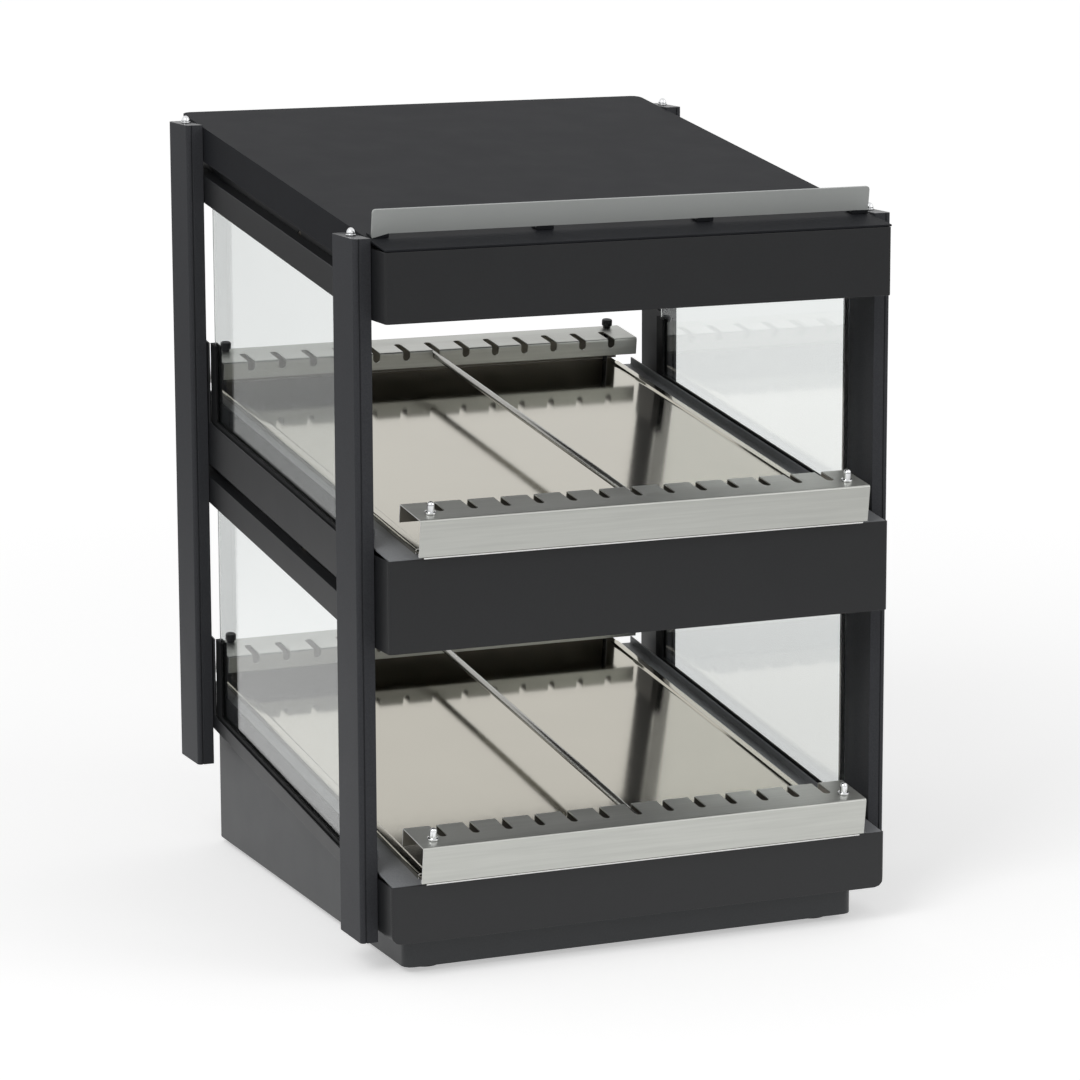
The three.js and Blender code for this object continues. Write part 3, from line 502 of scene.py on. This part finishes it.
def finished(bm, name, finish, sharp=SHARP_DEGREES):
    """Mesh object of a finished bmesh, with crisp edges where faces turn by more than sharp degrees."""
    bmesh.ops.recalc_face_normals(bm, faces=bm.faces)
    mesh = bpy.data.meshes.new(name)
    bm.to_mesh(mesh)
    bm.free()
    mesh.shade_smooth()
    mesh.set_sharp_from_angle(angle=math.radians(sharp))
    mesh.materials.append(MATERIALS[finish])
    obj = bpy.data.objects.new(name, mesh)
    bpy.context.scene.collection.objects.link(obj)
    return obj


def settle(obj, place, body, slot, *replaced):
    """Puts a piece in place, on its body, and hides the nodes that it stands for; slot is not used."""
    obj.matrix_world = place
    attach(obj, body)
    if replaced:
        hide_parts(*replaced)


def box_of(node):
    """Lowest and highest corner of a node at rest."""
    low, high = (Vector(corner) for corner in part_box(node))
    return low, high


def centre_of(node):
    low, high = box_of(node)
    return (low + high) / 2


def underside_of(node):
    """Middle of the underside of a node's box."""
    centre = centre_of(node)
    return Vector((centre.x, centre.y, box_of(node)[0].z))


def rounded(corners, steps=4):
    """Points through (x, y, cut) corners, each cut back that far on both sides and rounded."""
    points = []
    for i, (x, y, cut) in enumerate(corners):
        corner = Vector((x, y))
        if cut == 0:
            points.append(corner)
            continue
        before = Vector(corners[i - 1][:2])
        after = Vector(corners[(i + 1) % len(corners)][:2])
        start = corner + (before - corner).normalized() * cut
        end = corner + (after - corner).normalized() * cut
        for k in range(steps + 1):
            t = k / steps
            points.append(start * (1 - t) ** 2 + corner * 2 * t * (1 - t) + end * t**2)
    return [tuple(point) for point in points]


def rounded_bar(half_width, start, end, start_cut, end_cut, steps=4):
    """Outline of a straight bar along Y with rounded corners."""
    corners = [
        (-half_width, start, start_cut),
        (half_width, start, start_cut),
        (half_width, end, end_cut),
        (-half_width, end, end_cut),
    ]
    return rounded(corners, steps)


def mirrored_below(corners):
    """The corners of a half section mirrored to below its middle, in the order that leads up to them."""
    return [(radius, -height, cut) for radius, height, cut in corners[::-1]]


def dome(radius, base, height, steps=8):
    """Profile of a dome that ends on the axis."""
    arc = [math.pi / 2 * k / steps for k in range(steps)]
    return [(radius * math.cos(a), base + height * math.sin(a)) for a in arc] + [(0, base + height)]


def turned(bm, profile, steps, reshape=None):
    """Body turned about +Z from (radius, height) points that start and end on the axis, or meet.

    reshape(angle, radius, height) may give the radius another value at each angle."""
    rings = []
    for radius, height in profile:
        if radius == 0:
            rings.append([bm.verts.new((0, 0, height * MM))] * steps)
            continue
        ring = []
        for k in range(steps):
            angle = 2 * math.pi * k / steps
            reach = (reshape(angle, radius, height) if reshape else radius) * MM
            ring.append(bm.verts.new((reach * math.cos(angle), reach * math.sin(angle), height * MM)))
        rings.append(ring)
    for low, high in zip(rings, rings[1:]):
        for k in range(steps):
            after = (k + 1) % steps
            bm.faces.new(list(dict.fromkeys((low[k], low[after], high[after], high[k]))))


def turned_piece(name, finish, profile, steps=48, reshape=None):
    """Mesh object of one turned body."""
    bm = bmesh.new()
    turned(bm, profile, steps, reshape)
    return finished(bm, name, finish)


def extruded(bm, outline, low, high):
    """Prism along Z of a closed outline of (x, y) points. Gives back its corners."""
    floor = [bm.verts.new((x * MM, y * MM, low * MM)) for x, y in outline]
    roof = [bm.verts.new((x * MM, y * MM, high * MM)) for x, y in outline]
    bm.faces.new(floor)
    bm.faces.new(roof)
    for k in range(len(outline)):
        after = (k + 1) % len(outline)
        bm.faces.new((floor[k], floor[after], roof[after], roof[k]))
    return floor + roof


def ribbed(ribs, depth, low, high):
    """Reshape rule for turned: shallow ribs round the edge between two heights."""

    def rule(angle, radius, height):
        if not low <= height <= high:
            return radius
        wave = max(-1, min(1, math.cos(ribs * angle) * RIB_STEEPNESS))
        return radius - depth * (1 - wave) / 2

    return rule


def hexagonal(inner_radius, low, high, widest=math.inf):
    """Reshape rule for turned: a hexagon round the inner radius between two heights.

    Points that lie farther out than widest keep their radius."""

    def rule(angle, radius, height):
        if radius >= widest or not low <= height <= high:
            return radius
        turn = (angle + math.pi / 6) % (math.pi / 3) - math.pi / 6
        return min(radius, inner_radius / math.cos(turn))

    return rule


# Fasteners, rods and feet

# Half sections in millimetres as (radius, height, cut) corners, and ribs round them. Heights run from
# the underside of a nut or foot, and from the shelf plate for studs and screws.
NUT_FLANGE = [(0, 0, 0), (4, 0, 0.2), (4, 1.1, 0.35), (3.4, 1.1, 0.1)]
NUT_DOME = {"radius": 3.4, "base": 1.6, "height": 4.4, "steps": 10}
SHANK = [(0, 0.3, 0), (2, 0.3, 0), (2, RAIL_SEAT, 0)]
STUD_HEAD = [(4.5, RAIL_SEAT, 0.2), (4.5, 31.8, 0.5), (3, 32.1, 0.15), (3, 36.4, 0)]
STUD_DOME = {"radius": 3, "base": 36.8, "height": 3.2}
SCREW_COLLAR = [(3.4, RAIL_SEAT, 0.3), (3.4, 32.3, 0.1)]
SCREW_HEAD = [(4.2, 32.3, 0.1), (4.6, 32.8, 0.2), (4.6, 37.2, 0.3), (3.9, 38, 0.3)]
SCREW_DIMPLE = [(2.6, 38, 0.2), (2.2, 37.5, 0.2), (0, 37.5, 0)]
SCREW_RIBS = {"ribs": 12, "depth": 0.45, "low": 32.75, "high": 37.3}
FOOT_PAD = [(0, 0, 0), (12.4, 0, 0.5), (14, 1.6, 0.8), (14, 4.7, 0.5)]
FOOT_STEM = [(4, 4.7, 0), (4, 14, 0.5), (0, 14, 0)]
FOOT_RIBS = {"ribs": 28, "depth": 0.35, "low": 1.9, "high": 4.2}

# Rods: radii, lengths and chamfers in millimetres
ROD_RADIUS = 2.9
ROD_LENGTH = 448.9
ROD_CHAMFER = 0.7
SHEATH_RADIUS = 4
SHEATH_CHAMFER = 0.3
BUSH_RADIUS = 6
BUSH_LENGTH = 14
BUSH_INSET = 1.5
BUSH_CHAMFER = 0.6
BUSH_TAPER = 1


def make_nuts():
    """Domed nut with a flange on each post."""
    profile = rounded(NUT_FLANGE) + dome(**NUT_DOME)
    for side in SIDES:
        for row in ROWS:
            node = f"post_nut_{row}_{side}"
            nut = turned_piece(f"domed_nut_{row}_{side}", "chrome", profile)
            settle(nut, Matrix.Translation(underside_of(node)), CABINET, "chrome", node)


def make_feet():
    """Rubber foot under each corner, with its stem in the pedestal."""
    profile = rounded(FOOT_PAD + FOOT_STEM)
    for side in SIDES:
        for row in ROWS:
            node = f"foot_{row}_{side}"
            name = f"rubber_foot_{row}_{side}"
            foot = turned_piece(name, "rubber", profile, steps=56, reshape=ribbed(**FOOT_RIBS))
            settle(foot, Matrix.Translation(underside_of(node)), CABINET, "rubber", node)


def make_studs(tier):
    """Domed studs on a front rail."""
    profile = rounded(SHANK + STUD_HEAD) + dome(**STUD_DOME)
    for side in SIDES:
        node = f"front_stud_{tier}_{side}"
        stud = turned_piece(f"domed_stud_{tier}_{side}", "chrome", profile)
        across = centre_of(node).x
        place = shelf_frame(tier) @ Matrix.Translation((across, -STUD_TO_SCREW * MM, 0))
        settle(stud, place, CABINET, "chrome", node)


def make_thumb_screws(tier):
    """Ribbed thumb screws on a rear rail, each on its own hinge."""
    profile = rounded(SHANK + SCREW_COLLAR + SCREW_HEAD + SCREW_DIMPLE)
    for side in SIDES:
        node = f"thumb_screw_{tier}_{side}"
        name = f"ribbed_screw_{tier}_{side}"
        screw = turned_piece(name, "black_plastic", profile, steps=120, reshape=ribbed(**SCREW_RIBS))
        across = JOINTS[f"{node}_turn"]["pos_m"][0]
        place = shelf_frame(tier) @ Matrix.Translation((across, 0, 0))
        settle(screw, place, f"{node}_body", "black_plastic", node)


def make_divider_rod(tier):
    """Rod that lies along the slope in the centre slots."""
    node = f"divider_rod_{tier}"
    end = [(ROD_RADIUS, ROD_LENGTH / 2, ROD_CHAMFER), (0, ROD_LENGTH / 2, 0)]
    profile = rounded(mirrored_below(end) + [(ROD_RADIUS, 0, 0)] + end)
    rod = turned_piece(f"rod_{tier}", "rod_steel", profile)
    lie = Matrix.Rotation(SLOPE - math.pi / 2, 4, "X")
    settle(rod, Matrix.Translation(centre_of(node)) @ lie, f"{node}_body", "stainless", node)


def make_heating_rod(tier):
    """Sheathed rod across the cabinet, with a bush at each end in the housing's wall."""
    node = f"heating_rod_{tier}"
    low, high = box_of(node)
    half = (high.x - low.x) / 2 / MM
    bush_end = half - BUSH_INSET
    bush_start = bush_end - BUSH_LENGTH
    end = [
        (SHEATH_RADIUS, bush_start - BUSH_TAPER, 0),
        (BUSH_RADIUS, bush_start, BUSH_CHAMFER),
        (BUSH_RADIUS, bush_end, BUSH_CHAMFER),
        (SHEATH_RADIUS, bush_end, 0),
        (SHEATH_RADIUS, half, SHEATH_CHAMFER),
        (0, half, 0),
    ]
    rod = turned_piece(f"sheathed_rod_{tier}", "sheath", rounded(mirrored_below(end) + end), steps=40)
    place = Matrix.Translation(centre_of(node)) @ Matrix.Rotation(math.pi / 2, 4, "Y")
    settle(rod, place, CABINET, "sheath", node)


# Controls on the rear

# Half sections as above, with heights out from the panel's face
KNOB_SKIRT = [(0, 0.3, 0), (18, 0.3, 0.3), (18, 2.4, 0.4), (17, 3, 0.3)]
KNOB_GRIP = [(16.2, 10.2, 0.6), (15, 11, 0.5), (13.2, 11, 0.4), (12.6, 10.4, 0.4), (0, 10.2, 0)]
KNOB_RIBS = {"ribs": 24, "depth": 0.9, "low": 2.9, "high": 10.4}
GLAND_NUT = [(4.6, 0.3, 0), (11, 0.3, 0.2), (11, 3.9, 0.5), (10, 4.2, 0.1), (4.6, 4.2, 0)]
GLAND_HEXAGON = {"inner_radius": 9.6, "low": 0.3, "high": 4.1}
GLAND_CAP = [(4, 4.2, 0), (9, 4.2, 0.2), (9, 7, 0.5), (7, 9.6, 1.2), (4.6, 10, 0.4), (4, 9, 0.3)]
GLAND_RIBS = {"ribs": 18, "depth": 0.5, "low": 4.6, "high": 7}
GLAND_THREAD = [(4, -9, 0), (6.2, -9, 0), (6.2, 0.3, 0), (4, 0.3, 0)]
GLAND_SEAL = [(0, -2, 0), (4.3, -2, 0), (4.3, -1, 0), (0, -0.6, 0)]
PANEL_SCREW_HEAD = [(0, 0, 0), (2.9, 0, 0.15), (2.9, 0.6, 0.2), (2.4, 1.4, 0.5), (1.5, 1.65, 0.1)]
PANEL_SCREW_SOCKET = [(1.3, 1.6, 0), (1.3, 0.5, 0), (0, 0.4, 0)]
SOCKET_HEXAGON = {"inner_radius": 1.15, "low": 0.4, "high": 1.62, "widest": 1.4}
PANEL_SCREW_INSET = 4.5

# Pointer on a knob and tick marks round it, in millimetres from the knob's axis and from the panel
POINTER_HALF_WIDTH = 0.9
POINTER_START = 3
POINTER_END = 15.4
POINTER_CUTS = (0.5, 0.8)
POINTER_HEIGHTS = (9.6, 11)
DIAL_MARKS = 11
TICK_HALF_WIDTH = 0.45
TICK_START = 19.6
TICK_LENGTH = 2.6
LONG_TICK_LENGTH = 4.2
LONG_TICK_EVERY = 5
TICK_CUT = 0.2
TICK_HEIGHT = 0.08

# Rocker: its sides follow an arc about the pivot, and its two faces meet in a shallow valley
ROCKER_LENGTH = 19.0
ROCKER_HALF_WIDTH = 6.5
ROCKER_TILT = math.radians(9)
ROCKER_SIDE = (math.radians(-35), math.radians(24))
ROCKER_SIDE_STEPS = 8
ROCKER_VALLEY = 2.2
ROCKER_VALLEY_FLOOR = 2.1
ROCKER_VALLEY_POINTS = (6, 4, 2.5, 1.2)
ROCKER_VALLEY_CURVE = 1.4
ROCKER_EDGE_RADIUS = 0.45
ROCKER_SHARP_DEGREES = 50


def panel_place(x, z):
    """Frame on the face of the control panel, with +Z out of the panel."""
    return Matrix.Translation((x, PANEL_FACE, z)) @ Matrix.Rotation(-math.pi / 2, 4, "X")


def knob_place(name):
    x, _, z = JOINTS[f"thermostat_{name}_turn"]["pos_m"]
    return panel_place(x, z)


def make_knob(name):
    """Ribbed knob with a raised pointer, at rest on the first tick mark."""
    node = f"thermostat_knob_{name}"
    profile = rounded(KNOB_SKIRT + KNOB_GRIP)
    ribs = ribbed(**KNOB_RIBS)
    knob = turned_piece(f"ribbed_knob_{name}", "black_plastic", profile, steps=192, reshape=ribs)
    settle(knob, knob_place(name), f"{node}_body", "black_plastic", node)
    bm = bmesh.new()
    outline = rounded_bar(POINTER_HALF_WIDTH, POINTER_START, POINTER_END, *POINTER_CUTS)
    extruded(bm, outline, *POINTER_HEIGHTS)
    pointer = finished(bm, f"knob_pointer_{name}", "chrome")
    settle(pointer, knob_place(name), f"{node}_body", "chrome")


def make_dial_marks(name):
    """Plain tick marks over the turn of a thermostat knob, longer at each end and in the middle."""
    sweep = math.radians(JOINTS[f"thermostat_{name}_turn"]["range_deg"][1])
    bm = bmesh.new()
    for k in range(DIAL_MARKS):
        length = LONG_TICK_LENGTH if k % LONG_TICK_EVERY == 0 else TICK_LENGTH
        end = TICK_START + length
        outline = rounded_bar(TICK_HALF_WIDTH, TICK_START, end, TICK_CUT, TICK_CUT, steps=2)
        tick = extruded(bm, outline, 0, TICK_HEIGHT)
        turn = Matrix.Rotation(-sweep * k / (DIAL_MARKS - 1), 4, "Z")
        bmesh.ops.transform(bm, matrix=turn, verts=tick)
    marks = finished(bm, f"dial_marks_{name}", "black_plastic")
    settle(marks, knob_place(name), CABINET, "black_plastic")


def make_rocker(name):
    """Rocker that rests tipped to one side in the panel."""
    node = f"rocker_switch_{name}"
    low, high = ROCKER_SIDE
    angles = [low + (high - low) * k / ROCKER_SIDE_STEPS for k in range(ROCKER_SIDE_STEPS + 1)]
    side = [(ROCKER_LENGTH / 2 * math.cos(a), ROCKER_LENGTH / 2 * math.sin(a)) for a in angles]
    end, crest = side[-1]
    rise = crest - ROCKER_VALLEY
    face = [(x, ROCKER_VALLEY + rise * (x / end) ** ROCKER_VALLEY_CURVE) for x in ROCKER_VALLEY_POINTS]
    right = side + face
    outline = right + [(0, ROCKER_VALLEY_FLOOR)] + [(-x, y) for x, y in right[::-1]]
    bm = bmesh.new()
    extruded(bm, outline, -ROCKER_HALF_WIDTH, ROCKER_HALF_WIDTH)
    rocker = finished(bm, f"rocker_{name}", "black_plastic", ROCKER_SHARP_DEGREES)
    soften(rocker, ROCKER_EDGE_RADIUS, segments=3, degrees=SHARP_DEGREES)
    tilt = Matrix.Rotation(math.pi / 2, 4, "Y") @ Matrix.Rotation(-ROCKER_TILT, 4, "Z")
    place = Matrix.Translation(JOINTS[f"rocker_{name}_tip"]["pos_m"]) @ tilt
    settle(rocker, place, f"{node}_body", "black_plastic", node)


def make_gland():
    """Cable gland: a hexagonal nut, a ribbed cap and a thread round a bore that a seal closes."""
    node = "cable_gland"
    bm = bmesh.new()
    rings = (
        (GLAND_NUT, 72, hexagonal(**GLAND_HEXAGON)),
        (GLAND_CAP, 72, ribbed(**GLAND_RIBS)),
        (GLAND_THREAD, 40, None),
    )
    for corners, steps, reshape in rings:
        section = rounded(corners)
        turned(bm, section + section[:1], steps, reshape)
    turned(bm, rounded(GLAND_SEAL), steps=40)
    gland = finished(bm, "ribbed_gland", "black_plastic")
    settle(gland, panel_place(centre_of(node).x, PANEL_MIDDLE), CABINET, "black_plastic", node)


def make_panel_screws():
    """Screw with a hexagonal socket in each corner of the control panel."""
    profile = rounded(PANEL_SCREW_HEAD + PANEL_SCREW_SOCKET)
    low, high = box_of("control_panel")
    inset = PANEL_SCREW_INSET * MM
    corners = [(x, z) for x in (low.x + inset, high.x - inset) for z in (low.z + inset, high.z - inset)]
    socket = hexagonal(**SOCKET_HEXAGON)
    for k, (x, z) in enumerate(corners):
        screw = turned_piece(f"panel_screw_{k + 1}", "chrome", profile, reshape=socket)
        settle(screw, panel_place(x, z), CABINET, "chrome")


# Stage and light


def make_stage():
    """Pale floor that keeps the object's shadow, with painted light: a glow lifts it towards white where
    it is seen, less near the cabinet, a painted sheen brightens it in reflections near the cabinet, and
    its colour is darkened in reflections far off.
    """
    mesh = bpy.data.meshes.new("floor")
    corners = [(x * FLOOR_HALF, y * FLOOR_HALF, 0) for x, y in ((-1, -1), (1, -1), (1, 1), (-1, 1))]
    mesh.from_pydata(corners, [], [(0, 1, 2, 3)])
    floor = bpy.data.objects.new("floor", mesh)
    bpy.context.scene.collection.objects.link(floor)
    n = Finish("floor_white")
    n.set(Roughness=1.0, Specular_IOR_Level=0.0)
    distance = n.add("ShaderNodeVectorMath", operation="LENGTH")
    n.link(n.place, distance.inputs[0])

    def by_distance(near, far, start, end):
        """Level that goes from near to far between two distances from the middle of the floor."""
        level = n.add("ShaderNodeMapRange", interpolation_type="SMOOTHSTEP")
        ends = {"To Min": near, "To Max": far, "From Min": start, "From Max": end}
        for name, value in ends.items():
            level.inputs[name].default_value = value
        n.link(distance.outputs["Value"], level.inputs["Value"])
        return level.outputs["Result"]

    ray = n.add("ShaderNodeLightPath").outputs
    gloss = n.combine("SUBTRACT", ray["Is Glossy Ray"], ray["Is Transmission Ray"], use_clamp=True)
    seen = n.combine("MAXIMUM", ray["Is Camera Ray"], ray["Is Transmission Ray"])
    paper = n.add("ShaderNodeMix", data_type="RGBA")
    paper.inputs["A"].default_value = FLOOR_PALE
    paper.inputs["B"].default_value = FLOOR_DARK
    # Painted shade: the floor's colour darkened in reflections far off
    n.link(n.combine("MULTIPLY", gloss, by_distance(*FLOOR_FADE)), paper.inputs["Factor"])
    n.feed("Base Color", paper.outputs["Result"])
    # Painted glow: the lift where the floor is seen, the sheen where it is reflected
    lift = n.combine("MULTIPLY", seen, by_distance(*FLOOR_LIFT))
    sheen = n.combine("MULTIPLY", gloss, by_distance(*FLOOR_SHEEN))
    glow = n.add("ShaderNodeEmission")
    glow.inputs["Color"].default_value = WHITE
    n.link(n.combine("ADD", lift, sheen), glow.inputs["Strength"])
    both = n.add("ShaderNodeAddShader")
    n.link(n.shader.outputs["BSDF"], both.inputs[0])
    n.link(glow.outputs["Emission"], both.inputs[1])
    n.show(both.outputs["Shader"])
    mesh.materials.append(n.material)


def make_world():
    """White world: full strength where it is seen or reflected, less as a light."""
    world = bpy.data.worlds.new("studio")
    bpy.context.scene.world = world
    world.use_nodes = True
    n = Tree(world.node_tree)
    background = n.tree.nodes["Background"]
    background.inputs["Color"].default_value = WHITE
    ray = n.add("ShaderNodeLightPath").outputs
    seen = n.combine("MAXIMUM", ray["Is Camera Ray"], ray["Is Glossy Ray"])
    strength = n.add("ShaderNodeMapRange")
    strength.inputs["To Min"].default_value = WORLD_LIGHT
    strength.inputs["To Max"].default_value = 1.0
    n.link(n.combine("MAXIMUM", seen, ray["Is Transmission Ray"]), strength.inputs["Value"])
    n.link(strength.outputs["Result"], background.inputs["Strength"])


def make_lamps():
    """Square lamps that point at the cabinet."""
    for name, (place, power) in LAMPS.items():
        data = bpy.data.lights.new(name, "AREA")
        data.size = LAMP_SIDE
        data.energy = power
        lamp = bpy.data.objects.new(name, data)
        bpy.context.scene.collection.objects.link(lamp)
        lamp.location = place
        lamp.rotation_euler = (LAMP_TARGET - Vector(place)).to_track_quat("-Z", "Y").to_euler()


# Build

make_camera()
make_world()
make_stage()
make_lamps()
dress_solids()
make_nuts()
make_feet()
for tier in TIERS:
    make_studs(tier)
    make_thumb_screws(tier)
    make_divider_rod(tier)
    make_heating_rod(tier)
    make_knob(tier)
    make_dial_marks(tier)
for switch in ("power", "light"):
    make_rocker(switch)
make_gland()
make_panel_screws()

bpy.context.scene.view_settings.view_transform = "Standard"
